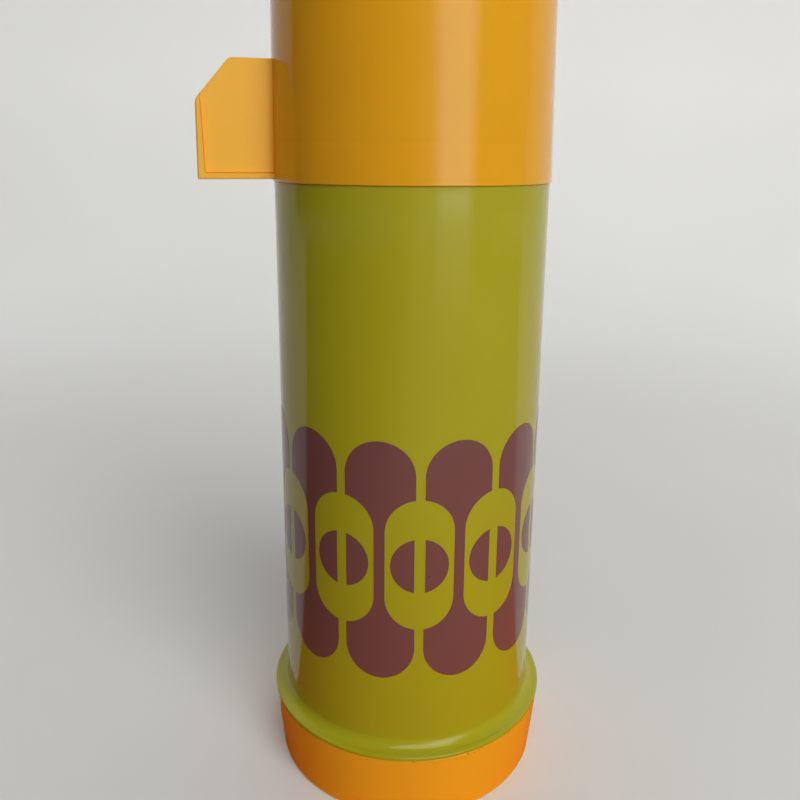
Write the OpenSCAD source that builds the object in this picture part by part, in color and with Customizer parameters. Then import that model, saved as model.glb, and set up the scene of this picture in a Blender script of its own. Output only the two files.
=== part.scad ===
// Vacuum flask with a screwed-on drinking cup, a screw stopper and a screwed-on base.
// The axis of the flask is Z, the table is z = 0, and the cup's wing handle points to -X.

/* [Casing] */
// Height of the joint between casing and cup
joint_z = 200; // [196:1:204]
// Outer radius of the casing at that joint
casing_r = 42; // [41.5:0.1:43]
// How much the casing widens downwards, in mm per mm
casing_draft = 0.0093; // [0.005:0.0001:0.012]
// Wall of the moulded shells
wall = 2.2; // [1.8:0.1:2.4]
// Outer radius of the flange round the foot of the casing
flange_r = 48.3; // [47.8:0.1:49]
// Thickness of that flange at its rim
flange_t = 1.2; // [0.9:0.1:1.5]

/* [Cup] */
// Height of the cup
cup_h = 70; // [66:1:76]
// Outer radius of the cup at its mouth
cup_r = 42.44; // [42.3:0.01:43]
// How much the cup narrows upwards, in mm per mm
cup_draft = 0.0263; // [0.02:0.0001:0.03]
// Radius of the cup's rounded closed end
cup_round = 6; // [3:0.5:8]

/* [Handle] */
// Reach of the wing handle from the axis
handle_reach = 64.1; // [60:0.1:70]
// Height of the handle's upper edge above the cup's mouth
handle_h = 33.3; // [30:0.1:40]
// Height of the handle's lower edge above the cup's mouth
handle_lift = 0.7; // [0.5:0.1:1.5]
// Thickness of the handle's web
handle_web = 2.4; // [1.8:0.1:3]
// Width of the rim along the handle's outer edge
handle_rim = 2.4; // [1.6:0.1:3]
// Height of the rim along the handle's lower edge
handle_low_rim = 1.7; // [1.2:0.1:2.5]
// Thickness of the handle across that rim
handle_rim_t = 5; // [4:0.1:7]

/* [Base] */
// Visible height of the base
base_h = 24; // [22:0.5:26]
// Outer radius at the top of the base
base_top_r = 48.2; // [47.6:0.1:48.3]
// Outer radius at the foot of the base
base_foot_r = 46; // [45.8:0.1:46.6]

/* [Glass] */
// Outer radius of the outer glass
glass_r = 35; // [34:0.1:36]
// Wall of both glasses
glass_wall = 1.5; // [1.2:0.1:1.6]
// Vacuum gap between the glasses
vacuum_gap = 2.5; // [2:0.1:3]
// Radius of the bore in the glass neck
neck_r = 15; // [14.9:0.1:15.2]
// Height of the glass lip
lip_z = 208; // [207:0.5:208]

/* [Screw threads] */
// Rise of the cup's three-start thread in one turn
cup_lead = 12; // [11:0.5:13]
// Rise of the stopper's two-start thread in one turn
stopper_lead = 6; // [5.5:0.5:6.5]
// Rise of the base's two-start thread in one turn
base_lead = 8; // [7.5:0.5:8.5]

/* [Hidden] */
$fn = 96;

// Casing
cup_gasket_t = 0.7;
cup_gasket_r = 40.6;
groove_z = joint_z - cup_gasket_t;
ledge_z = joint_z - 0.1;
spigot_r = 38.2;
spigot_top = joint_z + 10.5;
neck_hole_r = 22.5;
neck_tube_r = neck_hole_r + 3;
neck_bottom = lip_z - 5;
neck_top = spigot_top + 9;
flange_top = base_h + 1.5;
flange_fillet = 2;
lower_spigot_r = 43.4;
lower_spigot_z = 12.5;

// Cup
cup_top = joint_z + cup_h;
cup_top_wall = 2.5;
cup_thread_wall_r = 39.7;
cup_thread_h = 10.7;
cup_foot_r = 30;
cup_foot_recess = 0.8;

// Pour collar and neck gasket
gasket_t = 2.5;
collar_bottom = lip_z + gasket_t;
collar_skirt_r = 22.1;
collar_bore_r = 18.2;
collar_flange_r = 27;
collar_top = neck_top + 1.5;
lip_inner_r = 21.4;
lip_top = collar_top + 6;

// Stopper
plug_r = neck_r - 0.7;
plug_bottom = 198;
stopper_root_r = 16.6;
seat_t = 1.2;
stopper_flange_r = 20.8;
stopper_flange_z = collar_top + seat_t;
grip_bottom = stopper_flange_z + 2;
grip_top = grip_bottom + 17.3;
grip_r = 19.5;
grip_flutes = 12;
stopper_top = grip_top + 2.5;
foam_r = 16.4;
plug_foam_r = plug_r - 2;

// Base
floor_top = 4.9;
foot_recess = 2.5;
foot_inner_r = 42.5;
base_bore_r = 44.9;
cushion_r = 26.4;
cushion_clearance = 0.4;

// Glass
inner_r = glass_r - glass_wall - vacuum_gap;
shoulder_z = 166;
neck_start = 186;
dome_z = 40;
outer_dome_h = 24;
inner_dome_h = outer_dome_h - glass_wall - vacuum_gap;
neck_outer_r = 19.5;
neck_gap_r = neck_outer_r - glass_wall;
inner_neck_r = neck_r + 1.4;
lip_t = 1.5;

function casing_outer(z) = casing_r + casing_draft * (joint_z - z);
function cup_outer(z) = cup_r - cup_draft * (z - joint_z);
function base_outer(z) = base_foot_r + (base_top_r - base_foot_r) * z / base_h;

// Points of an elliptical arc about (x, y), from angle a to angle b
function arc(x, y, rx, ry, a, b, n = 6) =
    [for (i = [0 : n]) [x + rx * cos(a + (b - a) * i / n), y + ry * sin(a + (b - a) * i / n)]];

// An S-shaped shoulder from (r0, z0) up to (r1, z1), upright at both ends
function shoulder(r0, z0, r1, z1, n = 10) =
    [for (i = [0 : n]) [(r0 + r1) / 2 + (r0 - r1) / 2 * cos(180 * i / n), z0 + (z1 - z0) * i / n]];

module turned(points) {
    rotate_extrude() polygon(points);
}

// A helical ridge of a screw thread: the root is sunk into its wall, the crest stands off it,
// and both ends taper away. A crest below the root's radius makes an inside thread.
module ridge(root, crest, z, lead, turns, start, root_w, crest_w) {
    steps_per_turn = 48;
    n = ceil(turns * steps_per_turn);
    lead_in = 4;
    function height(i) = min(1, (min(i, n - i) + 0.4) / lead_in);
    function section(i) = let (
        a = start + 360 * turns * i / n,
        c = z + lead * turns * i / n,
        r = root + (crest - root) * height(i),
        sunk = root + (root > crest ? 0.6 : -0.6)
    ) [for (p = [[sunk, -root_w / 2], [r, -crest_w / 2], [r, crest_w / 2], [sunk, root_w / 2]])
        [p[0] * cos(a), p[0] * sin(a), c + p[1]]];
    points = [for (i = [0 : n]) each section(i)];
    sides = [for (i = [0 : n - 1], k = [0 : 3])
        let (m = (k + 1) % 4)
        each [[4 * i + k, 4 * i + m, 4 * i + 4 + k], [4 * i + m, 4 * i + 4 + m, 4 * i + 4 + k]]];
    ends = [[0, 2, 1], [0, 3, 2], [4 * n, 4 * n + 1, 4 * n + 2], [4 * n, 4 * n + 2, 4 * n + 3]];
    flipped = root > crest;
    faces = [for (f = concat(sides, ends)) flipped ? [f[0], f[2], f[1]] : f];
    polyhedron(points, faces);
}

module ridges(starts, root, crest, z, lead, turns, root_w = 1.6, crest_w = 0.8) {
    for (s = [0 : starts - 1])
        ridge(root, crest, z, lead, turns, 360 * s / starts, root_w, crest_w);
}

module casing() color("olivedrab") {
    turned(concat(
        [[lower_spigot_r, lower_spigot_z], [lower_spigot_r, base_h], [flange_r, base_h]],
        arc(flange_r - 0.35, base_h + flange_t - 0.35, 0.35, 0.35, 0, 75, 3),
        arc(casing_outer(flange_top) + flange_fillet, flange_top + flange_fillet,
            flange_fillet, flange_fillet, 270, 180, 6),
        [[casing_outer(ledge_z), ledge_z], [cup_gasket_r + 0.2, ledge_z],
         [cup_gasket_r + 0.2, groove_z], [spigot_r, groove_z],
         [spigot_r, spigot_top], [spigot_r - 1, spigot_top + 1],
         [neck_tube_r, neck_top - 2], [neck_tube_r, neck_top], [neck_hole_r, neck_top],
         [neck_hole_r, neck_bottom], [neck_tube_r, neck_bottom], [neck_tube_r, neck_top - 4.5],
         [spigot_r - wall - 0.8, spigot_top - 1.5], [spigot_r - wall, spigot_top - 2.5],
         [spigot_r - wall, groove_z - wall], [casing_outer(groove_z) - wall, groove_z - wall - 1],
         [casing_outer(base_h + 8) - wall, base_h + 8], [lower_spigot_r - wall, base_h + 6],
         [lower_spigot_r - wall, lower_spigot_z]]));
    ridges(3, spigot_r, spigot_r + 1, joint_z + 2.5, cup_lead, 0.4);
    ridges(2, lower_spigot_r, lower_spigot_r + 1, lower_spigot_z + 2, base_lead, 0.5);
}

module pour_collar() color("ivory") {
    turned(concat(
        [[collar_bore_r, collar_bottom], [collar_skirt_r, collar_bottom], [collar_skirt_r, neck_top],
         [collar_flange_r, neck_top]],
        arc(collar_flange_r - 1.5, neck_top, 1.5, 1.5, 0, 90, 3),
        [[lip_inner_r + 1.8, collar_top], [lip_inner_r + 1.8, collar_top + 2],
         [lip_inner_r + 2.6, lip_top - 0.8]],
        arc(lip_inner_r + 1.8, lip_top - 0.8, 0.8, 0.8, 0, 180, 6),
        [[lip_inner_r, collar_top + 2], [lip_inner_r, collar_top], [collar_bore_r, collar_top]]));
    ridges(2, collar_bore_r, collar_bore_r - 1.1, collar_bottom + 2, stopper_lead, 0.75, 1.3, 0.6);
}

module neck_gasket() color("dimgray")
    turned([[neck_r + 0.3, lip_z], [neck_outer_r + 0.1, lip_z], [neck_outer_r + 0.1, neck_bottom],
            [neck_hole_r - 0.1, neck_bottom], [neck_hole_r - 0.1, collar_bottom],
            [neck_r + 0.3, collar_bottom]]);

module outer_glass() color("lightcyan") {
    t = glass_wall;
    turned(concat(
        [[0, dome_z - outer_dome_h - 7], [1.2, dome_z - outer_dome_h - 7], [4, dome_z - outer_dome_h + 1]],
        arc(0, dome_z, glass_r, outer_dome_h, 282, 360, 12),
        shoulder(glass_r, shoulder_z, neck_outer_r, neck_start),
        [[neck_outer_r, lip_z - lip_t], [neck_gap_r, lip_z - lip_t]],
        shoulder(neck_gap_r, neck_start - 1, glass_r - t, shoulder_z - 1),
        arc(0, dome_z, glass_r - t, outer_dome_h - t, 360, 270, 12)));
}

module inner_glass() color("lightcyan") {
    t = glass_wall;
    turned(concat(
        arc(0, dome_z, inner_r, inner_dome_h, 270, 360, 12),
        shoulder(inner_r, shoulder_z - 4, inner_neck_r, neck_start - 4),
        [[inner_neck_r, lip_z - lip_t], [neck_outer_r, lip_z - lip_t]],
        arc(neck_outer_r - 0.5, lip_z - 0.5, 0.5, 0.5, 0, 90, 3),
        arc(neck_r + 0.5, lip_z - 0.5, 0.5, 0.5, 90, 180, 3),
        shoulder(neck_r, neck_start - 5, inner_r - t, shoulder_z - 5),
        arc(0, dome_z, inner_r - t, inner_dome_h - t, 360, 270, 12)));
}

// Three pads that keep the two glasses apart
module glass_spacers() color("tan")
    for (a = [0, 120, 240])
        rotate(a)
            rotate_extrude(angle = 14)
                translate([inner_r + 0.05, dome_z + 10])
                    square([vacuum_gap - 0.1, 8]);

// The wing's side view: its outer corner is rounded, then cut off at a slant
module handle_outline() {
    polygon(concat(
        [[casing_r - 3, handle_lift], [handle_reach, handle_lift]],
        [for (p = [[0.5, 19.3], [0.8, 21.3], [1.3, 22.9], [2.4, 24.5], [3.8, 26.1]])
            [handle_reach - p[0], p[1]]],
        [for (p = [[55.9, 2.4], [55, 1.6], [54.1, 0.9], [53.1, 0.3], [51.7, 0]])
            [p[0], handle_h - p[1]]],
        [[casing_r - 3, handle_h]]));
}

module handle() {
    rim_z = handle_lift + handle_low_rim;
    translate([0, 0, joint_z]) mirror([1, 0, 0]) rotate([90, 0, 0]) {
        linear_extrude(handle_web, center = true) handle_outline();
        linear_extrude(handle_rim_t, center = true) difference() {
            handle_outline();
            polygon([[0, rim_z], [handle_reach - handle_rim, rim_z],
                     [handle_reach - handle_rim + 0.4, handle_h], [0, handle_h]]);
        }
    }
}

module cup() color("orange") {
    inner_top = cup_top - cup_top_wall;
    difference() {
        union() {
            turned(concat(
                [[0, joint_z], [cup_outer(joint_z), joint_z]],
                arc(cup_outer(cup_top) - cup_round, cup_top - cup_round, cup_round, cup_round, 0, 90),
                [[cup_foot_r, cup_top], [cup_foot_r - 1, cup_top - cup_foot_recess],
                 [0, cup_top - cup_foot_recess]]));
            handle();
        }
        turned(concat(
            [[0, joint_z - 1], [cup_thread_wall_r, joint_z - 1],
             [cup_thread_wall_r, joint_z + cup_thread_h],
             [cup_outer(joint_z + cup_thread_h) - wall + 0.2, joint_z + cup_thread_h + 0.6]],
            arc(cup_outer(inner_top) - wall - 4, inner_top - 4, 4, 4, 0, 90, 4),
            [[0, inner_top]]));
    }
    ridges(3, cup_thread_wall_r, cup_thread_wall_r - 1.1, joint_z + 4.5, cup_lead, 0.36);
}

module cup_gasket() color("dimgray")
    turned([[cup_thread_wall_r - 0.2, groove_z], [cup_gasket_r, groove_z],
            [cup_gasket_r, joint_z], [cup_thread_wall_r - 0.2, joint_z]]);

module stopper_shell() color("ivory") {
    difference() {
        turned(concat(
            [[0, plug_bottom]],
            arc(plug_r - 1.5, plug_bottom + 1.5, 1.5, 1.5, 270, 360, 3),
            [[plug_r, collar_bottom], [stopper_root_r, collar_bottom + 1.5],
             [stopper_root_r, stopper_flange_z], [stopper_flange_r, stopper_flange_z],
             [stopper_flange_r, grip_bottom], [grip_r, grip_bottom + 0.8],
             [grip_r, grip_top], [0, grip_top]]));
        turned([[0, plug_bottom + 2], [plug_foam_r, plug_bottom + 2], [plug_foam_r, grip_bottom],
                [foam_r, grip_bottom + 2], [foam_r, grip_top + 1], [0, grip_top + 1]]);
        for (i = [0 : grip_flutes - 1])
            rotate(360 * (i + 0.5) / grip_flutes)
                translate([grip_r + 2.2, 0, grip_bottom + 2.5])
                    cylinder(r = 3.2, h = grip_top - grip_bottom);
    }
    ridges(2, stopper_root_r, stopper_root_r + 1.1, collar_bottom + 3.5, stopper_lead, 0.7, 1.3, 0.6);
}

module stopper_lid() color("ivory")
    turned(concat(
        [[0, grip_top - 1.5], [foam_r - 0.1, grip_top - 1.5], [foam_r - 0.1, grip_top],
         [grip_r - 0.3, grip_top]],
        arc(grip_r - 1.8, grip_top + 1, 1.5, 1.5, 0, 90, 4),
        [[12, stopper_top], [11, stopper_top - 0.7], [0, stopper_top - 0.7]]));

module stopper_insulation() color("wheat")
    turned([[0, plug_bottom + 2.2], [plug_foam_r - 0.2, plug_bottom + 2.2],
            [plug_foam_r - 0.2, grip_bottom + 0.2], [foam_r - 0.3, grip_bottom + 2.4],
            [foam_r - 0.3, grip_top - 1.7], [0, grip_top - 1.7]]);

module stopper_gasket() color("dimgray")
    turned([[collar_bore_r - 0.1, collar_top], [lip_inner_r - 0.8, collar_top],
            [lip_inner_r - 0.8, stopper_flange_z], [collar_bore_r - 0.1, stopper_flange_z]]);

module base() color("darkorange") {
    turned(concat(
        [[0, foot_recess], [foot_inner_r - 1.5, foot_recess], [foot_inner_r, 0]],
        arc(base_outer(0) - 1.2, 1.2, 1.2, 1.2, 270, 360, 4),
        [[base_top_r, base_h], [base_bore_r, base_h], [base_bore_r, 8.5],
         [base_bore_r - 1.5, floor_top + 1], [base_bore_r - 4, floor_top],
         [cushion_r + 2.6, floor_top], [cushion_r + 2.6, floor_top + 4],
         [cushion_r + cushion_clearance, floor_top + 4],
         [cushion_r + cushion_clearance, floor_top], [0, floor_top]]));
    ridges(2, base_bore_r, base_bore_r - 1, lower_spigot_z + 4, base_lead, 0.5);
}

// The rubber dish under the glass, with a hole for the glass's sealed tip
module base_cushion() color("dimgray")
    turned(concat(
        [[7, floor_top], [cushion_r, floor_top], [cushion_r, floor_top + 10]],
        arc(0, dome_z, glass_r + 0.4, outer_dome_h + 0.4, 315, 282, 6),
        [[7, floor_top + 6]]));

casing();
pour_collar();
neck_gasket();
outer_glass();
inner_glass();
glass_spacers();
cup();
cup_gasket();
stopper_shell();
stopper_lid();
stopper_insulation();
stopper_gasket();
base();
base_cushion();
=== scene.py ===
"""Looks of the vacuum flask: turned plastic shells, printed ornament, glass liner and studio."""

import math

import bmesh
import bpy
from mathutils import Matrix, Vector


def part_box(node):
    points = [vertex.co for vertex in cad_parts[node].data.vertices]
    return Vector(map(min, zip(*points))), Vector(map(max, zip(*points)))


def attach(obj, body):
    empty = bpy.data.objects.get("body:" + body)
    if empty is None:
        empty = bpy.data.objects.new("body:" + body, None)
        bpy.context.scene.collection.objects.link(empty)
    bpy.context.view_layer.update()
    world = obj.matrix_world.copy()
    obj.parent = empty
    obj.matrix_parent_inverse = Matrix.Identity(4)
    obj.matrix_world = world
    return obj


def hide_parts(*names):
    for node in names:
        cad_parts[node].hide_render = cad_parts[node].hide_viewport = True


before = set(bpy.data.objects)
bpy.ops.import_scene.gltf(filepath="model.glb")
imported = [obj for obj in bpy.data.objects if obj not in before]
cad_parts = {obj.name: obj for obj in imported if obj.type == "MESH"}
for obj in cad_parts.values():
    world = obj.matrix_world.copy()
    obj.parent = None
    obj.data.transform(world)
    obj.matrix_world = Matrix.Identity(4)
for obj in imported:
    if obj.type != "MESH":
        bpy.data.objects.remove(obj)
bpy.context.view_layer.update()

MM = 0.001
TAU = 2 * math.pi
SEGMENTS = 256
FEWER_SEGMENTS = 128
SHARP = math.radians(32)


def low(node, axis=2):
    """Lowest coordinate of a CAD node, in millimetres."""
    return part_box(node)[0][axis] / MM


def high(node, axis=2):
    """Highest coordinate of a CAD node, in millimetres."""
    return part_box(node)[1][axis] / MM


# ---------------------------------------------------------------- sizes, in millimetres
WALL = 2.2
JOINT_Z = low("cup")
LEDGE_Z = JOINT_Z - 0.05
GROOVE_Z = low("cup_gasket")
GROOVE_R = high("cup_gasket", 0) + 0.2
CUP_TOP = high("cup")
CUP_MOUTH_R = high("cup", 0)
CUP_DRAFT = 0.0263
CUP_SHELF_Z = JOINT_Z + 10.7
CUP_INNER_TOP = CUP_TOP - 2.5
HANDLE_REACH = -low("cup", 0)
HANDLE_TOP = JOINT_Z + 33.3
HANDLE_LOW = JOINT_Z + 0.7
HANDLE_RIM_T = 5.0
HANDLE_RIM_W = 1.85
HANDLE_WEB_T = 2.4
HANDLE_GROOVE = 0.26
CASING_TOP_R = CUP_MOUTH_R - 0.44
CASING_DRAFT = 0.0093
FLANGE_R = high("casing", 0)
FILLET_W = 3.8
FILLET_H = 3.4
BASE_TOP = high("base")
BASE_TOP_R = high("base", 0)
BASE_FOOT_R = BASE_TOP_R - 2.2
BASE_BORE_R = BASE_TOP_R - 3.3
FLANGE_TOP = BASE_TOP + 1.5
LOWER_SPIGOT_Z = low("casing")
LOWER_SPIGOT_R = BASE_BORE_R - 1.5
SPIGOT_R = CASING_TOP_R - 3.8
SPIGOT_TOP = JOINT_Z + 10.5
CUP_BORE_R = SPIGOT_R + 1.5
LIP_Z = high("inner_glass")
NECK_TOP = high("casing")
NECK_HOLE_R = high("neck_gasket", 0) + 0.1
NECK_OUTER_R = NECK_HOLE_R + 3
GLASS_NECK_R = NECK_HOLE_R - 3
NECK_R = NECK_HOLE_R - 7.5
SEAL_Z = LIP_Z - 5
COLLAR_BOTTOM = low("pour_collar")
COLLAR_TOP = low("stopper_gasket")
COLLAR_R = high("pour_collar", 0)
COLLAR_BORE_R = 18.2
LIP_TOP = high("pour_collar")
LIP_INNER_R = high("stopper_gasket", 0) + 0.8
STOPPER_ROOT_R = COLLAR_BORE_R - 1.6
STOPPER_FLANGE_R = high("stopper_shell", 0)
FLANGE_UNDER = high("stopper_gasket")
PLUG_BOTTOM = low("stopper_shell")
PLUG_R = NECK_R - 0.7
GRIP_BOTTOM = FLANGE_UNDER + 2
GRIP_TOP = high("stopper_shell")
GRIP_R = STOPPER_FLANGE_R - 1.3
HOLLOW_R = GRIP_R - 3.1
FLUTES = 12
FLUTE_R = 3.2
STOPPER_TOP = high("stopper_lid")
FLOOR_TOP = low("base_cushion")
CUSHION_R = high("base_cushion", 0)
GLASS_R = high("outer_glass", 0)
GLASS_T = 1.5
INNER_R = high("inner_glass", 0)
PIP_Z = low("outer_glass")
SHOULDER_Z = 166
NECK_Z = 186
DOME_Z = 40
DOME_H = 24
CUP_STARTS, CUP_LEAD = 3, 12
BASE_STARTS, BASE_LEAD = 2, 8
STOPPER_STARTS, STOPPER_LEAD = 2, 6


def casing_radius(z):
    """Outer radius of the casing at height z."""
    return CASING_TOP_R + CASING_DRAFT * (JOINT_Z - z)


def cup_radius(z):
    """Outer radius of the cup at height z."""
    return CUP_MOUTH_R - CUP_DRAFT * (z - JOINT_Z)


# ---------------------------------------------------------------- outlines
def rounded(corners, steps=6):
    """Points of a closed outline whose corners (r, z, radius) are rounded by arcs of that radius.

    An arc that would take more than half of a side is made smaller."""
    points = []
    for i, (r, z, radius) in enumerate(corners):
        corner = Vector((r, z))
        before = Vector(corners[i - 1][:2]) - corner
        after = Vector(corners[(i + 1) % len(corners)][:2]) - corner
        turn = before.angle(after)
        nearly_straight = turn > math.radians(178)
        if radius <= 0 or nearly_straight:
            points.append(corner)
            continue
        reach = min(radius / math.tan(turn / 2), 0.48 * before.length, 0.48 * after.length)
        real = reach * math.tan(turn / 2)
        middle = (before.normalized() + after.normalized()).normalized()
        centre = corner + middle * real / math.sin(turn / 2)
        start = corner + before.normalized() * reach - centre
        sweep = (corner + after.normalized() * reach - centre).angle_signed(start)
        for k in range(steps + 1):
            points.append(centre + Matrix.Rotation(sweep * k / steps, 2) @ start)
    return points


def arc(x, z, rx, rz, start, end, steps=24):
    """Corners along an elliptical arc about (x, z), from angle start to angle end in degrees."""
    angles = [math.radians(start + (end - start) * k / steps) for k in range(steps + 1)]
    return [(x + rx * math.cos(a), z + rz * math.sin(a), 0) for a in angles]


def shoulder(r0, z0, r1, z1, steps=24):
    """Corners of an S-shaped shoulder from (r0, z0) to (r1, z1), upright at both ends."""
    middle, half = (r0 + r1) / 2, (r0 - r1) / 2
    return [(middle + half * math.cos(math.pi * k / steps), z0 + (z1 - z0) * k / steps, 0)
            for k in range(steps + 1)]


# ---------------------------------------------------------------- meshes
def mesh_object(name, bm):
    """A new object from a bmesh whose normals point outwards."""
    bmesh.ops.recalc_face_normals(bm, faces=bm.faces)
    mesh = bpy.data.meshes.new(name)
    bm.to_mesh(mesh)
    bm.free()
    obj = bpy.data.objects.new(name, mesh)
    bpy.context.scene.collection.objects.link(obj)
    return obj


def apply_modifiers(obj):
    """Bakes an object's modifiers into its mesh."""
    graph = bpy.context.evaluated_depsgraph_get()
    baked = bpy.data.meshes.new_from_object(obj.evaluated_get(graph))
    obj.modifiers.clear()
    obj.data = baked
    return obj


def soften(obj):
    """Smooth shading that keeps large faces flat, with sharp edges left crisp."""
    bm = bmesh.new()
    bm.from_mesh(obj.data)
    for face in bm.faces:
        face.smooth = True
    for edge in bm.edges:
        edge.smooth = len(edge.link_faces) == 2 and edge.calc_face_angle() < SHARP
    bm.to_mesh(obj.data)
    bm.free()
    weigh = obj.modifiers.new("normals", "WEIGHTED_NORMAL")
    weigh.mode = "FACE_AREA"
    weigh.keep_sharp = True
    return apply_modifiers(obj)


def join_solids(obj, *others, operation="UNION"):
    """One closed solid from several that overlap: all of them, or the first less or inside the others."""
    for other in others:
        cut = obj.modifiers.new("join", "BOOLEAN")
        cut.operation = operation
        cut.solver = "MANIFOLD"
        cut.object = other
        apply_modifiers(obj)
        bpy.data.objects.remove(other)
    return obj


def turned(name, corners, segments=SEGMENTS):
    """A solid of revolution about Z from a closed outline, which may run along the axis."""
    bm = bmesh.new()
    rings = []
    for r, z in rounded(corners):
        on_axis = r < 1e-4
        if on_axis:
            rings.append([bm.verts.new((0, 0, z * MM))])
            continue
        spokes = [TAU * k / segments for k in range(segments)]
        rings.append([bm.verts.new((r * math.cos(a) * MM, r * math.sin(a) * MM, z * MM))
                      for a in spokes])
    for a, b in zip(rings, rings[1:] + rings[:1]):
        if len(a) == 1 and len(b) == 1:
            continue
        for k in range(segments):
            m = (k + 1) % segments
            loop = [a[k % len(a)], a[m % len(a)], b[m % len(b)], b[k % len(b)]]
            bm.faces.new(list(dict.fromkeys(loop)))
    return mesh_object(name, bm)


def ridge(root, crest, z, lead, turns, start, root_w, crest_w):
    """One helical ridge of a screw thread, sunk into its wall and tapered away at both ends."""
    count = math.ceil(turns * 96)
    taper = 10
    depth = 0.6
    edge = 0.06
    sunk = root + (depth if root > crest else -depth)
    bm = bmesh.new()
    rings = []
    for i in range(count + 1):
        share = min(1, (min(i, count - i) + 0.6) / taper)
        top = root + (crest - root) * math.sin(share * math.pi / 2)
        angle = start + TAU * turns * i / count
        middle = z + lead * turns * i / count
        flank = root + (top - root) * 0.8
        section = [(sunk, -root_w / 2), (root, -root_w / 2), (flank, -crest_w / 2 - edge),
                   (top, -crest_w / 3), (top, crest_w / 3), (flank, crest_w / 2 + edge),
                   (root, root_w / 2), (sunk, root_w / 2)]
        cosine, sine = math.cos(angle), math.sin(angle)
        rings.append([bm.verts.new((r * cosine * MM, r * sine * MM, (middle + h) * MM))
                      for r, h in section])
    size = len(rings[0])
    for a, b in zip(rings, rings[1:]):
        for k in range(size):
            m = (k + 1) % size
            bm.faces.new((a[k], a[m], b[m], b[k]))
    bm.faces.new(rings[0])
    bm.faces.new(rings[-1])
    return mesh_object("ridge", bm)


def threaded(obj, starts, root, crest, z, lead, turns, root_w=1.6, crest_w=0.8):
    """Joins the ridges of a thread with several starts to a turned solid."""
    ridges = [ridge(root, crest, z, lead, turns, TAU * s / starts, root_w, crest_w)
              for s in range(starts)]
    return join_solids(obj, *ridges)


def plate(name, corners, thickness, bevel):
    """A flat plate in the XZ plane, centred on y = 0, with rounded edges."""
    bm = bmesh.new()
    outline = rounded(corners, 8)
    front = [bm.verts.new((x * MM, -thickness / 2 * MM, z * MM)) for x, z in outline]
    back = [bm.verts.new((x * MM, thickness / 2 * MM, z * MM)) for x, z in outline]
    bm.faces.new(front)
    bm.faces.new(back)
    for k in range(len(outline)):
        m = (k + 1) % len(outline)
        bm.faces.new((front[k], front[m], back[m], back[k]))
    obj = mesh_object(name, bm)
    if not bevel:
        return obj
    edges = obj.modifiers.new("edges", "BEVEL")
    edges.width = bevel * MM
    edges.segments = 4
    edges.limit_method = "ANGLE"
    edges.angle_limit = math.radians(40)
    return apply_modifiers(obj)


# ---------------------------------------------------------------- materials
# Lengths in the materials are in metres, as texture coordinates are.
IOR = 1.49
SPECULAR = 0.36
WING_SPECULAR = 0.22
WING_ROUGHNESS = 0.32
DIRT = (0.05, 0.03, 0.01)


def shader(name, roughness, metallic=0.0):
    """A new node material and its shader node."""
    material = bpy.data.materials.new(name)
    material.use_nodes = True
    node = material.node_tree.nodes["Principled BSDF"]
    node.inputs["Roughness"].default_value = roughness
    node.inputs["Metallic"].default_value = metallic
    node.inputs["IOR"].default_value = IOR
    return material, node


def add(material, kind, **values):
    """A new node of a material or world, with its properties and inputs set by name."""
    node = material.node_tree.nodes.new(kind)
    for key, value in values.items():
        if hasattr(node, key):
            setattr(node, key, value)
        else:
            node.inputs[key.replace("_", " ")].default_value = value
    return node


def link(material, source, target):
    """Joins a node's output to another's input."""
    material.node_tree.links.new(source, target)


def stretched_coordinates(material, scale):
    """Object coordinates in metres, scaled per axis."""
    where = add(material, "ShaderNodeTexCoord")
    mapping = add(material, "ShaderNodeMapping", Scale=scale)
    link(material, where.outputs["Object"], mapping.inputs["Vector"])
    return mapping.outputs["Vector"]


def noise(material, scale, detail=3.0, stretch=(1, 1, 1)):
    """Noise from 0 to 1 with features of about 1 / scale metres."""
    node = add(material, "ShaderNodeTexNoise", Scale=scale, Detail=detail)
    link(material, stretched_coordinates(material, stretch), node.inputs["Vector"])
    return node.outputs["Fac"]


def ramp(material, value, stops):
    """A colour ramp over a value, from (place, colour) stops."""
    node = add(material, "ShaderNodeValToRGB")
    elements = node.color_ramp.elements
    while len(elements) < len(stops):
        elements.new(0.5)
    for element, (place, colour) in zip(elements, stops):
        element.position = place
        element.color = (*colour, 1)
    link(material, value, node.inputs["Fac"])
    return node.outputs["Color"]


def ranged(material, value, low_in, high_in, low_out, high_out):
    """A value mapped from one range to another and held inside it. The ends are numbers or sockets."""
    node = add(material, "ShaderNodeMapRange")
    numbers = (low_in, high_in, low_out, high_out)
    for key, number in zip(("From Min", "From Max", "To Min", "To Max"), numbers):
        if isinstance(number, bpy.types.NodeSocket):
            link(material, number, node.inputs[key])
        else:
            node.inputs[key].default_value = number
    link(material, value, node.inputs["Value"])
    return node.outputs["Result"]


def mixed(material, share, first, second):
    """Two colours mixed by a share, which is a socket. Each colour is a plain one or a socket."""
    node = add(material, "ShaderNodeMix", data_type="RGBA")
    link(material, share, node.inputs[0])
    for socket, value in ((node.inputs[6], first), (node.inputs[7], second)):
        if isinstance(value, bpy.types.NodeSocket):
            link(material, value, socket)
        else:
            socket.default_value = (*value, 1)
    return node.outputs[2]


def specks(material, scale, size, share):
    """Sparse round specks: 1 inside a speck, 0 elsewhere."""
    cells = add(material, "ShaderNodeTexVoronoi", Scale=scale)
    link(material, stretched_coordinates(material, (1, 1, 1)), cells.inputs["Vector"])
    near = ranged(material, cells.outputs["Distance"], size, size * 0.5, 0, 1)
    split = add(material, "ShaderNodeSeparateColor")
    link(material, cells.outputs["Color"], split.inputs["Color"])
    chosen = add(material, "ShaderNodeMath", operation="LESS_THAN")
    chosen.inputs[1].default_value = share
    link(material, split.outputs["Red"], chosen.inputs[0])
    return product(material, near, chosen.outputs[0])


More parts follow.
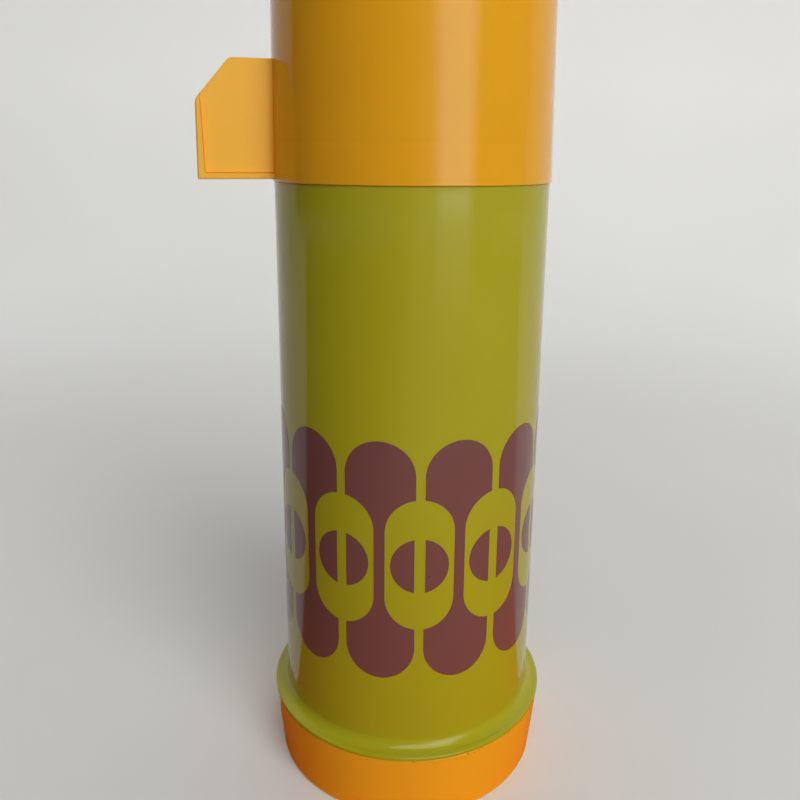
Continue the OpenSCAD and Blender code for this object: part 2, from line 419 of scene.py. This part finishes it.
def shade(colour, factor):
    """A colour made darker or lighter by a factor."""
    return tuple(min(1.0, c * factor) for c in colour)


def along(material, direction):
    """How far a point lies along a direction from the frame's origin, in metres."""
    node = add(material, "ShaderNodeVectorMath", operation="DOT_PRODUCT")
    link(material, add(material, "ShaderNodeTexCoord").outputs["Object"], node.inputs[0])
    node.inputs[1].default_value = direction
    return node.outputs["Value"]


def distance(material):
    """How far a point lies from the frame's origin, in metres."""
    node = add(material, "ShaderNodeVectorMath", operation="LENGTH")
    link(material, add(material, "ShaderNodeTexCoord").outputs["Object"], node.inputs[0])
    return node.outputs["Value"]


def product(material, first, second):
    """The product of two values."""
    node = add(material, "ShaderNodeMath", operation="MULTIPLY")
    link(material, first, node.inputs[0])
    link(material, second, node.inputs[1])
    return node.outputs[0]


def plastic(name, colour, roughness, glow=0.0, wear=1.0, thin=None, seam=None):
    """Moulded plastic: slight clouding, flow lines, orange peel, fine scratches and a few specks of dirt.

    glow is the share of light that goes into the plastic and comes out near by. thin is the colour of
    the wing: a lighter orange than the cup's wall, painted light for the light that shines through the
    wing. The wing is also duller than the cup's wall. seam is the height of an edge that collects dirt."""
    material, node = shader(name, roughness)
    node.inputs["Specular IOR Level"].default_value = SPECULAR
    clouds = noise(material, 35, 4, (1, 1, 0.5))
    cloudy = 0.03 * wear
    tones = [(0.3, shade(colour, 1 - cloudy)), (0.7, shade(colour, 1 + cloudy))]
    base = ramp(material, clouds, tones)
    if thin:
        depth = along(material, (-1, 0, CUP_DRAFT))
        wall = (CUP_MOUTH_R + CUP_DRAFT * JOINT_Z) * MM
        outside = ranged(material, depth, wall + 0.02 * MM, wall + 0.1 * MM, 0, 1)
        # Painted light: the wing is given a lighter orange than the cup, for light shining through it.
        base = mixed(material, ranged(material, depth, wall, wall + 2 * MM, 0, 1), base, thin)
        specular = ranged(material, outside, 0, 1, SPECULAR, WING_SPECULAR)
        link(material, specular, node.inputs["Specular IOR Level"])
    if seam:
        height = along(material, (0, 0, 1))
        near = ranged(material, height, seam - 1.7 * MM, seam - 0.3 * MM, 0, 1)
        crumbs = ranged(material, noise(material, 800, 3), 0.61, 0.69, 0, 0.7)
        base = mixed(material, product(material, near, crumbs), base, DIRT)
    dots = specks(material, 170, 0.045, 0.05 * wear)
    link(material, mixed(material, dots, base, DIRT), node.inputs["Base Color"])
    film = noise(material, 60, 5)
    scuffs = noise(material, 700, 2, (1, 1, 0.3))
    worn = roughness * (1 + 0.25 * wear)
    spread = ranged(material, product(material, film, scuffs), 0.15, 0.4, roughness * 0.92, worn)
    if thin:
        spread = ranged(material, outside, 0, 1, spread, WING_ROUGHNESS)
    link(material, spread, node.inputs["Roughness"])
    peel = add(material, "ShaderNodeBump", Strength=0.35, Distance=0.00002)
    link(material, noise(material, 420, 2), peel.inputs["Height"])
    waves = add(material, "ShaderNodeBump", Strength=0.5, Distance=0.00008)
    link(material, noise(material, 45, 1, (1, 1, 0.35)), waves.inputs["Height"])
    link(material, peel.outputs["Normal"], waves.inputs["Normal"])
    link(material, waves.outputs["Normal"], node.inputs["Normal"])
    if glow:
        node.inputs["Subsurface Weight"].default_value = glow
        node.inputs["Subsurface Radius"].default_value = (1.0, 0.5, 0.15)
        node.inputs["Subsurface Scale"].default_value = 0.002
    return material


def rubber(name, colour):
    """Dull dark rubber with a fine grain and dusty patches."""
    material, node = shader(name, 0.6)
    dusty = ramp(material, noise(material, 120, 5), [(0.35, colour), (0.8, shade(colour, 2.2))])
    link(material, dusty, node.inputs["Base Color"])
    grain = add(material, "ShaderNodeBump", Strength=0.5, Distance=0.00005)
    link(material, noise(material, 1800, 3), grain.inputs["Height"])
    link(material, grain.outputs["Normal"], node.inputs["Normal"])
    return material


def silvered_glass(name):
    """Glass silvered on its far side: a mirror with faint streaks in the silvering."""
    material, node = shader(name, 0.03, metallic=1.0)
    streaks = noise(material, 26, 6, (1, 1, 0.3))
    tint = ramp(material, streaks, [(0.3, (0.80, 0.79, 0.77)), (0.75, (0.92, 0.92, 0.91))])
    link(material, tint, node.inputs["Base Color"])
    link(material, ranged(material, streaks, 0.3, 0.8, 0.02, 0.07), node.inputs["Roughness"])
    ripple = add(material, "ShaderNodeBump", Strength=0.4, Distance=0.0001)
    link(material, noise(material, 60, 2), ripple.inputs["Height"])
    link(material, ripple.outputs["Normal"], node.inputs["Normal"])
    return material


def foam(name):
    """Pale open foam."""
    material, node = shader(name, 0.9)
    cells = noise(material, 1400, 2)
    tones = [(0.3, (0.52, 0.46, 0.30)), (0.7, (0.78, 0.72, 0.54))]
    link(material, ramp(material, cells, tones), node.inputs["Base Color"])
    pores = add(material, "ShaderNodeBump", Strength=0.8, Distance=0.0003)
    link(material, cells, pores.inputs["Height"])
    link(material, pores.outputs["Normal"], node.inputs["Normal"])
    return material


green = plastic("casing_green", (0.43, 0.405, 0.014), 0.11)
# The wing's lighter orange is painted light, for the light that shines through the thin wing.
orange = plastic("cup_orange", (0.87, 0.425, 0.015), 0.11, glow=0.25, thin=(1.0, 0.54, 0.055))
deep_orange = plastic("base_orange", (1.0, 0.49, 0.021), 0.15, glow=0.15, seam=BASE_TOP * MM)
ink = plastic("ornament_ink", (0.20, 0.077, 0.072), 0.13, wear=0.6)
ivory = plastic("stopper_ivory", (0.78, 0.72, 0.56), 0.22, glow=0.2)
black_rubber = rubber("seal_rubber", (0.022, 0.020, 0.018))
silver = silvered_glass("silvered_glass")
cream_foam = foam("stopper_foam")
pad_grey = rubber("spacer_pad", (0.30, 0.24, 0.17))


def place(obj, material, body, slot, *nodes):
    """Gives a piece its material and its body, and lets it stand for its CAD nodes."""
    obj.data.materials.clear()
    obj.data.materials.append(material)
    soften(obj)
    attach(obj, body)
    if nodes:
        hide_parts(*nodes)


# ---------------------------------------------------------------- casing and ornament
def casing_shell():
    """The green shell with its flange, spigots, shoulder and neck socket."""
    fillet_x = casing_radius(FLANGE_TOP) + FILLET_W
    ledge_r = CASING_TOP_R + 0.03
    inner_r = SPIGOT_R - WALL
    lower_r = LOWER_SPIGOT_R - WALL
    cone_z = BASE_TOP + 8
    shell = turned("casing_shell", [
        (LOWER_SPIGOT_R, LOWER_SPIGOT_Z, 0.5), (LOWER_SPIGOT_R, BASE_TOP, 0.3),
        (FLANGE_R, BASE_TOP, 0.15), (FLANGE_R, BASE_TOP + 1.2, 0.35),
        *arc(fillet_x, FLANGE_TOP + FILLET_H, FILLET_W, FILLET_H, 270, 180, 12),
        (ledge_r - 0.06, LEDGE_Z - 2.6, 4), (ledge_r, LEDGE_Z, 0.16),
        (GROOVE_R, LEDGE_Z, 0.1), (GROOVE_R, GROOVE_Z, 0.1), (SPIGOT_R, GROOVE_Z, 0.3),
        (SPIGOT_R, SPIGOT_TOP, 0.5), (SPIGOT_R - 1, SPIGOT_TOP + 1, 1.5),
        (NECK_OUTER_R, NECK_TOP - 2, 1.2), (NECK_OUTER_R, NECK_TOP, 0.4),
        (NECK_HOLE_R, NECK_TOP, 0.3), (NECK_HOLE_R, SEAL_Z, 0.3), (NECK_OUTER_R, SEAL_Z, 0.4),
        (NECK_OUTER_R, NECK_TOP - 4.5, 1), (inner_r - 0.8, SPIGOT_TOP - 1.5, 0.8),
        (inner_r, SPIGOT_TOP - 2.5, 0.5), (inner_r, GROOVE_Z - WALL, 0.6),
        (casing_radius(GROOVE_Z) - WALL, GROOVE_Z - WALL - 1, 0.8),
        (casing_radius(cone_z) - WALL, cone_z, 1), (lower_r, cone_z - 2, 1),
        (lower_r, LOWER_SPIGOT_Z, 0.5)])
    threaded(shell, CUP_STARTS, SPIGOT_R, SPIGOT_R + 1, JOINT_Z + 2.5, CUP_LEAD, 0.4)
    threaded(shell, BASE_STARTS, LOWER_SPIGOT_R, LOWER_SPIGOT_R + 1, LOWER_SPIGOT_Z + 2, BASE_LEAD, 0.5)
    return shell


# The band repeats a capsule with a split disc in it, between two bars with domed ends.
MOTIFS = 11
ORNAMENT_Z = 90.4
ORNAMENT_TURN = math.radians(-11.64)
GAP_HALF = 1.39
DOME_RISE = 28.4
CAPSULE_R = 10.58
CAPSULE_RISE = 10.9
DISC_R = 8.95
SPLIT_HALF = 1.64
INK_PROUD = 0.04
PERIOD = TAU * casing_radius(ORNAMENT_Z) / MOTIFS
DOME_R = PERIOD / 2 - GAP_HALF
STEM_HALF = PERIOD / 2 - CAPSULE_R + 1e-6


def ornament_point(motif, s, z):
    """A point at arc length s from a motif's centre line and height z above the band's middle."""
    middle_r = casing_radius(ORNAMENT_Z)
    angle = ORNAMENT_TURN + TAU * motif / MOTIFS + s / middle_r
    r = casing_radius(ORNAMENT_Z + z) + INK_PROUD
    return (r * math.sin(angle) * MM, -r * math.cos(angle) * MM, (ORNAMENT_Z + z) * MM)


def strips(bm, motif, columns):
    """Faces between neighbouring columns. A column is its place s and the heights that bound the ink.

    Between the second and the third of four heights there is ink only on the bar's narrow stem."""
    rows = [[bm.verts.new(ornament_point(motif, s, z)) for z in heights] for s, heights in columns]
    for (s0, _), (s1, _), a, b in zip(columns, columns[1:], rows, rows[1:]):
        on_stem = max(abs(s0), abs(s1)) <= STEM_HALF
        for k in range(len(a) - 1):
            bare = len(a) == 4 and k == 1 and not on_stem
            if not bare:
                bm.faces.new((a[k], b[k], b[k + 1], a[k + 1]))


def dome_columns():
    """Columns of one domed bar, with bites cut by the capsules to its left and right."""
    outer = [DOME_R * math.sin(math.radians(a)) for a in range(0, 91, 5)]
    widest = math.acos((PERIOD / 2 - DOME_R) / CAPSULE_R)
    inner = [PERIOD / 2 - CAPSULE_R * math.cos(widest * k / 16) for k in range(17)]
    half = sorted({round(s, 6) for s in outer + inner if s <= DOME_R + 1e-6})
    spread = [s for i, s in enumerate(half) if i == 0 or s - half[i - 1] > 1e-3]
    columns = []
    for s in [-s for s in reversed(spread[1:])] + spread:
        rim = DOME_RISE + math.sqrt(max(0, DOME_R ** 2 - s * s))
        bite = CAPSULE_RISE + math.sqrt(max(0, CAPSULE_R ** 2 - (PERIOD / 2 - abs(s)) ** 2))
        columns.append((s, [-rim, -bite, bite, rim]))
    return columns


def disc_columns(side):
    """Columns of the half disc on one side of a capsule's split."""
    widest = math.acos(SPLIT_HALF / DISC_R)
    angles = [widest * k / 18 for k in range(19)]
    return [(side * DISC_R * math.cos(a), [-DISC_R * math.sin(a), DISC_R * math.sin(a)])
            for a in angles]


def ornament_print():
    """The printed band as a thin film of ink on the casing."""
    bm = bmesh.new()
    for motif in range(MOTIFS):
        strips(bm, motif + 0.5, dome_columns())
        for side in (-1, 1):
            strips(bm, motif, disc_columns(side))
    bmesh.ops.remove_doubles(bm, verts=bm.verts, dist=1e-7)
    bmesh.ops.dissolve_degenerate(bm, edges=bm.edges, dist=1e-8)
    obj = mesh_object("ornament_print", bm)
    film = obj.modifiers.new("film", "SOLIDIFY")
    film.thickness = 2 * INK_PROUD * MM
    film.offset = -1
    return apply_modifiers(obj)


# ---------------------------------------------------------------- cup
def wing_handle():
    """The cup's wing: a thin panel, a thick rim along its outer and lower edges, and a groove between."""
    outer, root = -HANDLE_REACH, -(CASING_TOP_R - 1.2)
    rim_x, rim_z = outer + HANDLE_RIM_W, HANDLE_LOW + 1.5
    slant_x, slant_z = -53.7, JOINT_Z + 22.3
    through = 9
    outline = [(root, HANDLE_LOW, 0), (outer, HANDLE_LOW, 0.35), (outer + 0.6, slant_z, 3.5),
               (slant_x, HANDLE_TOP, 2.6), (root, HANDLE_TOP, 0)]

    def beyond(gap):
        """The region inside the rim, less a gap along it."""
        return [(root, rim_z + gap, 0), (rim_x + gap, rim_z + gap, 0.5),
                (rim_x + gap - 0.3, HANDLE_TOP + 3, 0), (root, HANDLE_TOP + 3, 0)]

    rim = join_solids(plate("wing_rim", outline, HANDLE_RIM_T, 0.4),
                      plate("inside", beyond(0), through, 0), operation="DIFFERENCE")
    panel = join_solids(plate("wing_panel", beyond(HANDLE_GROOVE), HANDLE_WEB_T, 0.3),
                        plate("bounds", outline, through, 0), operation="INTERSECT")
    return join_solids(plate("wing_core", outline, HANDLE_WEB_T - 0.9, 0.3), panel, rim)


def drinking_cup():
    """The cup with its inside thread and its wing."""
    shelf, inner_top = CUP_SHELF_Z, CUP_INNER_TOP
    foot_ring_r, recess_r, recess_z = 30, 29, CUP_TOP - 0.8
    cup = turned("drinking_cup", [
        (CUP_BORE_R, JOINT_Z, 0.35), (CUP_MOUTH_R, JOINT_Z, 0.2),
        (cup_radius(shelf - 1), shelf - 1, 8), (cup_radius(shelf) - 0.05, shelf, 3),
        (cup_radius(shelf + 1.4), shelf + 1.4, 8), (cup_radius(CUP_TOP), CUP_TOP, 6),
        (foot_ring_r, CUP_TOP, 0.8), (recess_r, recess_z, 0.6), (0, recess_z, 0), (0, inner_top, 0),
        (cup_radius(inner_top) - WALL, inner_top, 4), (cup_radius(shelf) - WALL + 0.2, shelf + 0.6, 0.4),
        (CUP_BORE_R, shelf, 0.4)])
    threaded(cup, CUP_STARTS, CUP_BORE_R, CUP_BORE_R - 1.1, JOINT_Z + 4.5, CUP_LEAD, 0.36)
    return join_solids(cup, wing_handle())


# ---------------------------------------------------------------- collar and stopper
def pour_ring():
    """The ring with the pouring lip and the stopper's inside thread."""
    lip = LIP_INNER_R
    ring = turned("pour_ring", [
        (COLLAR_BORE_R, COLLAR_BOTTOM, 0.4), (NECK_HOLE_R - 0.4, COLLAR_BOTTOM, 0.4),
        (NECK_HOLE_R - 0.4, NECK_TOP, 0.2), (COLLAR_R, NECK_TOP, 0.3), (COLLAR_R - 0.2, COLLAR_TOP, 1.0),
        (lip + 1.8, COLLAR_TOP, 0.8), (lip + 1.8, COLLAR_TOP + 2, 3), (lip + 2.6, LIP_TOP, 0.75),
        (lip + 1.0, LIP_TOP, 0.75), (lip, COLLAR_TOP + 2, 3), (lip, COLLAR_TOP, 0.3),
        (COLLAR_BORE_R, COLLAR_TOP, 0.35)])
    return threaded(ring, STOPPER_STARTS, COLLAR_BORE_R, COLLAR_BORE_R - 1.1, COLLAR_BOTTOM + 2,
                    STOPPER_LEAD, 0.75, 1.3, 0.6)


def stopper_body():
    """The hollow screw stopper with its plug, thread, flange and fluted grip."""
    body = turned("stopper_body", [
        (0, PLUG_BOTTOM, 0), (PLUG_R, PLUG_BOTTOM, 1.5), (PLUG_R, COLLAR_BOTTOM, 0.6),
        (STOPPER_ROOT_R, COLLAR_BOTTOM + 1.5, 0.5), (STOPPER_ROOT_R, FLANGE_UNDER, 0.2),
        (STOPPER_FLANGE_R, FLANGE_UNDER, 0.4), (STOPPER_FLANGE_R, GRIP_BOTTOM, 0.6),
        (GRIP_R, GRIP_BOTTOM + 0.8, 0.6), (GRIP_R, GRIP_TOP, 0.3), (HOLLOW_R, GRIP_TOP, 0.2),
        (HOLLOW_R, GRIP_BOTTOM + 2, 0.5), (PLUG_R - 2, GRIP_BOTTOM, 0.5),
        (PLUG_R - 2, PLUG_BOTTOM + 2, 0.6), (0, PLUG_BOTTOM + 2, 0)])
    threaded(body, STOPPER_STARTS, STOPPER_ROOT_R, STOPPER_ROOT_R + 1.1, COLLAR_BOTTOM + 3.5,
             STOPPER_LEAD, 0.7, 1.3, 0.6)
    flute_bottom, flute_top = GRIP_BOTTOM + 2.5, GRIP_TOP + 2
    reach = (GRIP_R + 2.2) * MM
    flutes = []
    for k in range(FLUTES):
        flute = turned("flute", [
            (0, flute_bottom, 0), (FLUTE_R, flute_bottom, 1.4), (FLUTE_R, flute_top, 0),
            (0, flute_top, 0)], 48)
        angle = TAU * (k + 0.5) / FLUTES
        flute.data.transform(Matrix.Translation((reach * math.cos(angle), reach * math.sin(angle), 0)))
        flutes.append(flute)
    return join_solids(body, *flutes, operation="DIFFERENCE")


def stopper_top():
    """The disc that closes the stopper, with a shallow recess in its top."""
    plug_r, disc_r, plug_z, recess_z = HOLLOW_R - 0.1, GRIP_R - 0.3, GRIP_TOP - 1.5, STOPPER_TOP - 0.7
    return turned("stopper_top", [
        (0, plug_z, 0), (plug_r, plug_z, 0.3), (plug_r, GRIP_TOP, 0.1), (disc_r, GRIP_TOP, 0.2),
        (disc_r, STOPPER_TOP, 1.5), (12, STOPPER_TOP, 0.5), (11, recess_z, 0.5), (0, recess_z, 0)])


def ring_solid(name, inner, outer, bottom, top, edge=0.2):
    """A plain ring with rounded edges."""
    corners = ((inner, bottom), (outer, bottom), (outer, top), (inner, top))
    return turned(name, [(r, z, edge) for r, z in corners])


def stopper_foam():
    """The foam inside the stopper."""
    plug, grip, bottom, top = PLUG_R - 2.2, GRIP_R - 3.4, PLUG_BOTTOM + 2.2, GRIP_TOP - 1.7
    return turned("stopper_foam", [
        (0, bottom, 0), (plug, bottom, 0.5), (plug, GRIP_BOTTOM + 0.2, 0.5),
        (grip, GRIP_BOTTOM + 2.4, 0.5), (grip, top, 0.5), (0, top, 0)], FEWER_SEGMENTS)


def neck_seal():
    """The rubber ring round the glass lip."""
    gap = 0.1
    return turned("neck_seal", [
        (NECK_R + 0.3, LIP_Z, 0.3), (GLASS_NECK_R + gap, LIP_Z, 0.1), (GLASS_NECK_R + gap, SEAL_Z, 0.2),
        (NECK_HOLE_R - gap, SEAL_Z, 0.3), (NECK_HOLE_R - gap, COLLAR_BOTTOM, 0.3),
        (NECK_R + 0.3, COLLAR_BOTTOM, 0.3)])


# ---------------------------------------------------------------- glass liner
def liner_outer():
    """The outer glass, with its sealed tip under the dome."""
    t, neck = GLASS_T, GLASS_NECK_R
    return turned("liner_outer", [
        (0, PIP_Z, 0), (1.2, PIP_Z, 0.6), (4, DOME_Z - DOME_H + 1, 3),
        *arc(0, DOME_Z, GLASS_R, DOME_H, 282, 360),
        *shoulder(GLASS_R, SHOULDER_Z, neck, NECK_Z),
        (neck, LIP_Z - t, 0), (neck - t, LIP_Z - t, 0),
        *shoulder(neck - t, NECK_Z - 1, GLASS_R - t, SHOULDER_Z - 1),
        *arc(0, DOME_Z, GLASS_R - t, DOME_H - t, 360, 270)], FEWER_SEGMENTS)


def liner_inner():
    """The inner glass, with the rolled lip that joins it to the outer one."""
    t, neck = GLASS_T, GLASS_NECK_R
    gap = GLASS_R - INNER_R
    height = DOME_H - gap
    return turned("liner_inner", [
        *arc(0, DOME_Z, INNER_R, height, 270, 360),
        *shoulder(INNER_R, SHOULDER_Z - 4, NECK_R + 1.4, NECK_Z - 4),
        (NECK_R + 1.4, LIP_Z - t, 0.2), (neck, LIP_Z - t, 0), (neck, LIP_Z, 0.7), (NECK_R, LIP_Z, 0.7),
        *shoulder(NECK_R, NECK_Z - 5, INNER_R - t, SHOULDER_Z - 5),
        *arc(0, DOME_Z, INNER_R - t, height - t, 360, 270)], FEWER_SEGMENTS)


# ---------------------------------------------------------------- base
def base_cap():
    """The screwed-on base with its foot ring, inside thread and the rib round the cushion."""
    hollow_z, hollow_r, foot_ring_r, bore_z = 2.5, 41, 42.5, 8.5
    rib_in, rib_out, rib_top = CUSHION_R + 0.4, CUSHION_R + 2.6, FLOOR_TOP + 4
    cap = turned("base_cap", [
        (0, hollow_z, 0), (hollow_r, hollow_z, 0.8), (foot_ring_r, 0, 0.5), (BASE_FOOT_R, 0, 1.1),
        (BASE_TOP_R, BASE_TOP, 0.35), (BASE_BORE_R, BASE_TOP, 0.35), (BASE_BORE_R, bore_z, 0.8),
        (BASE_BORE_R - 1.5, FLOOR_TOP + 1, 1), (BASE_BORE_R - 4, FLOOR_TOP, 1),
        (rib_out, FLOOR_TOP, 0.4), (rib_out, rib_top, 0.5), (rib_in, rib_top, 0.5),
        (rib_in, FLOOR_TOP, 0.2), (0, FLOOR_TOP, 0)])
    return threaded(cap, BASE_STARTS, BASE_BORE_R, BASE_BORE_R - 1, LOWER_SPIGOT_Z + 4, BASE_LEAD, 0.5)


def cushion_dish():
    """The rubber dish that carries the glass."""
    hole_r, gap = 7, 0.4
    return turned("cushion_dish", [
        (hole_r, FLOOR_TOP, 0.5), (CUSHION_R, FLOOR_TOP, 0.4), (CUSHION_R, FLOOR_TOP + 10, 0.8),
        *arc(0, DOME_Z, GLASS_R + gap, DOME_H + gap, 315, 282, 12),
        (hole_r, FLOOR_TOP + 6, 1)], FEWER_SEGMENTS)


place(casing_shell(), green, "flask", "casing_green", "casing")
place(ornament_print(), ink, "flask", "casing_green")
place(pour_ring(), ivory, "flask", "stopper_ivory", "pour_collar")
place(neck_seal(), black_rubber, "flask", "seal_rubber", "neck_gasket")
place(liner_outer(), silver, "flask", "silvered_glass", "outer_glass")
place(liner_inner(), silver, "flask", "silvered_glass", "inner_glass")
place(drinking_cup(), orange, "cup", "cup_orange", "cup")
place(ring_solid("cup_ring", CUP_BORE_R - 0.2, GROOVE_R - 0.2, GROOVE_Z, JOINT_Z, 0.1),
      black_rubber, "cup_slide", "seal_rubber", "cup_gasket")
place(stopper_body(), ivory, "stopper", "stopper_ivory", "stopper_shell")
place(stopper_top(), ivory, "stopper", "stopper_ivory", "stopper_lid")
place(stopper_foam(), cream_foam, "stopper", "foam", "stopper_insulation")
place(ring_solid("stopper_washer", COLLAR_BORE_R - 0.1, LIP_INNER_R - 0.8, COLLAR_TOP, FLANGE_UNDER),
      black_rubber, "stopper_slide", "seal_rubber", "stopper_gasket")
place(base_cap(), deep_orange, "base", "base_orange", "base")
place(cushion_dish(), black_rubber, "base_slide", "seal_rubber", "base_cushion")
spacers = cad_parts["glass_spacers"]
spacers.data.materials.clear()
spacers.data.materials.append(pad_grey)


# ---------------------------------------------------------------- camera
CAMERA_AZIMUTH = math.radians(-16.5)
CAMERA_DISTANCE = 0.25205
CAMERA_HEIGHT = 0.20802
CAMERA_PITCH = math.radians(17.39)
CAMERA_YAW = math.radians(-0.72)
CAMERA_ROLL = math.radians(0.40)
CAMERA_LENS = 35.40
SENSOR_WIDTH = 36
CAMERA_TURN = Matrix.Rotation(CAMERA_AZIMUTH, 4, "Z")


def photo_camera():
    """The camera stands near the front, at about the height of the cup joint, and looks down a little."""
    data = bpy.data.cameras.new("camera")
    data.lens = CAMERA_LENS
    data.sensor_width = SENSOR_WIDTH
    data.clip_start = 0.01
    camera = bpy.data.objects.new("camera", data)
    bpy.context.scene.collection.objects.link(camera)
    aim = (Matrix.Rotation(-CAMERA_YAW, 4, "Z") @ Matrix.Rotation(math.pi / 2 - CAMERA_PITCH, 4, "X")
           @ Matrix.Rotation(CAMERA_ROLL, 4, "Z"))
    stand = Matrix.Translation((0, -CAMERA_DISTANCE, CAMERA_HEIGHT))
    camera.matrix_world = CAMERA_TURN @ stand @ aim
    bpy.context.scene.camera = camera


photo_camera()


# ---------------------------------------------------------------- studio
# Everything here is laid out in metres with the camera in front, on the -Y side, and then turned
# with it about the flask's axis.
DAYLIGHT = (0.985, 1.0, 0.955)
SHADED_DAYLIGHT = (1.0, 0.985, 0.95)
CEILING_LIGHT = (1.0, 0.99, 0.97)
FLASK_MIDDLE = (0, 0, 0.14)


def stage_material():
    """Plain pale paper with the faintest mottling. It has a painted glow: it gives off light, none at the
    flask and more and more away from it.
    """
    material, node = shader("pale_paper", 0.85)
    node.inputs["Specular IOR Level"].default_value = 0.1
    tones = [(0.3, (0.79, 0.79, 0.785)), (0.7, (0.82, 0.82, 0.815))]
    link(material, ramp(material, noise(material, 4, 4), tones), node.inputs["Base Color"])
    node.inputs["Emission Color"].default_value = (1, 1, 0.98, 1)
    # Painted glow: the paper emits light that grows with distance from the flask, though it is no lamp.
    lighter = ranged(material, distance(material), 0.05, 0.95, 0, 0.26)
    link(material, lighter, node.inputs["Emission Strength"])
    return material


def sheet(name, loops, material):
    """A part of the studio from loops of (x, y, z). It goes down with the base, which stands on it."""
    bm = bmesh.new()
    for loop in loops:
        bm.faces.new([bm.verts.new(CAMERA_TURN @ Vector(corner)) for corner in loop])
    bmesh.ops.remove_doubles(bm, verts=bm.verts, dist=1e-6)
    obj = mesh_object(name, bm)
    if obj.data.polygons[0].normal.z < 0:
        obj.data.flip_normals()
    obj.data.materials.append(material)
    soften(obj)
    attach(obj, "base_slide")
    return obj


def sweep(left=-2.8, right=4.5, front=-5.0, back=0.95, curve=0.30, height=2.6):
    """A floor that curves up into a back wall."""
    profile = [(front, 0), (back - curve, 0)]
    for a in map(math.radians, range(3, 90, 3)):
        profile.append((back - curve + curve * math.sin(a), curve - curve * math.cos(a)))
    profile += [(back, curve), (back, height)]
    loops = [[(left, y0, z0), (right, y0, z0), (right, y1, z1), (left, y1, z1)]
             for (y0, z0), (y1, z1) in zip(profile, profile[1:])]
    sheet("studio_sweep", loops, stage_material())


def card_material():
    """Warm near the flask and greyer further out. On the left it is dark, a sheet of painted shade that
    darkens the flask's left side. It is clear from below.
    """
    material, node = shader("warm_card", 0.9)
    tones = [(0.10, (0.84, 0.17, 0.01)), (0.34, (0.42, 0.37, 0.33))]
    rightward = along(material, CAMERA_TURN @ Vector((1, 0, 0)))
    # Painted shade: the card's left is made dark so that the flask's left side gets less light.
    shaded_left = ranged(material, rightward, -0.22, 0.03, 0.9, 0)
    colour = mixed(material, shaded_left, ramp(material, distance(material), tones), (0.05, 0.03, 0.02))
    link(material, colour, node.inputs["Base Color"])
    both = add(material, "ShaderNodeMixShader")
    link(material, add(material, "ShaderNodeNewGeometry").outputs["Backfacing"], both.inputs[0])
    link(material, node.outputs[0], both.inputs[1])
    link(material, add(material, "ShaderNodeBsdfTransparent").outputs[0], both.inputs[2])
    link(material, both.outputs[0], material.node_tree.nodes["Material Output"].inputs["Surface"])
    return material


def warm_card(left=-95, right=101, reach=2.2, height=0.001):
    """A fan just above the floor, from azimuth left to right in degrees from the camera's direction.

    The flask mirrors it and is lit by it, but the camera doesn't see it."""
    angles = [math.radians(left + (right - left) * k / 24) for k in range(25)]
    rim = [(reach * math.sin(a), -reach * math.cos(a), height) for a in angles]
    loops = [[(0, 0, height), a, b] for a, b in zip(rim, rim[1:])]
    card = sheet("warm_card", loops, card_material())
    for kind in ("camera", "transmission", "shadow"):
        setattr(card, "visible_" + kind, False)


def area_light(name, azimuth, reach, height, size, power, colour, target=FLASK_MIDDLE):
    """A soft box at an azimuth from the camera's direction, positive to the right, facing a target."""
    data = bpy.data.lights.new(name, "AREA")
    data.shape = "RECTANGLE"
    data.size, data.size_y = size
    data.energy = power
    data.color = colour
    light = bpy.data.objects.new(name, data)
    bpy.context.scene.collection.objects.link(light)
    a = math.radians(azimuth)
    light.location = CAMERA_TURN @ Vector((reach * math.sin(a), -reach * math.cos(a), height))
    away = light.location - CAMERA_TURN @ Vector(target)
    light.rotation_mode = "QUATERNION"
    light.rotation_quaternion = away.to_track_quat("Z", "Y")
    light.visible_camera = False


def surroundings():
    """A dim room, darker on the camera's left. Where the camera sees it, it is as pale as the floor."""
    world = bpy.data.worlds.new("room")
    bpy.context.scene.world = world
    world.use_nodes = True
    turn = add(world, "ShaderNodeMapping", Rotation=(0, 0, -CAMERA_AZIMUTH))
    link(world, add(world, "ShaderNodeTexCoord").outputs["Generated"], turn.inputs["Vector"])
    split = add(world, "ShaderNodeSeparateXYZ")
    link(world, turn.outputs["Vector"], split.inputs["Vector"])
    side = ranged(world, split.outputs["X"], -0.8, 0.9, 0, 1)
    tone = ramp(world, side, [(0, (0.025, 0.024, 0.023)), (1, (0.13, 0.128, 0.125))])
    seen = add(world, "ShaderNodeLightPath").outputs["Is Camera Ray"]
    colour = mixed(world, seen, tone, (0.42, 0.418, 0.41))
    link(world, colour, world.node_tree.nodes["Background"].inputs["Color"])


def lights():
    """A tall window on the right with soft edges, its curtain, its sill and the light of the ceiling."""
    for step, width in enumerate((0.84, 0.68, 0.52)):
        area_light("window", azimuth=33.2, reach=1.20 + 0.03 * step, height=0.56, size=(width, 0.92),
                   power=2.7 * width, colour=DAYLIGHT)
    area_light("curtain", azimuth=9.5, reach=1.22, height=0.53, size=(0.28, 1.05), power=0.27,
               colour=SHADED_DAYLIGHT)
    area_light("sill", azimuth=33.8, reach=1.26, height=0.062, size=(0.66, 0.12), power=0.17,
               colour=SHADED_DAYLIGHT, target=(0, 0, 0.062))
    area_light("ceiling", azimuth=19, reach=1.3, height=1.7, size=(1.4, 1.4), power=18.6,
               colour=CEILING_LIGHT)


sweep()
warm_card()
surroundings()
lights()

bpy.context.scene.view_settings.view_transform = "Standard"
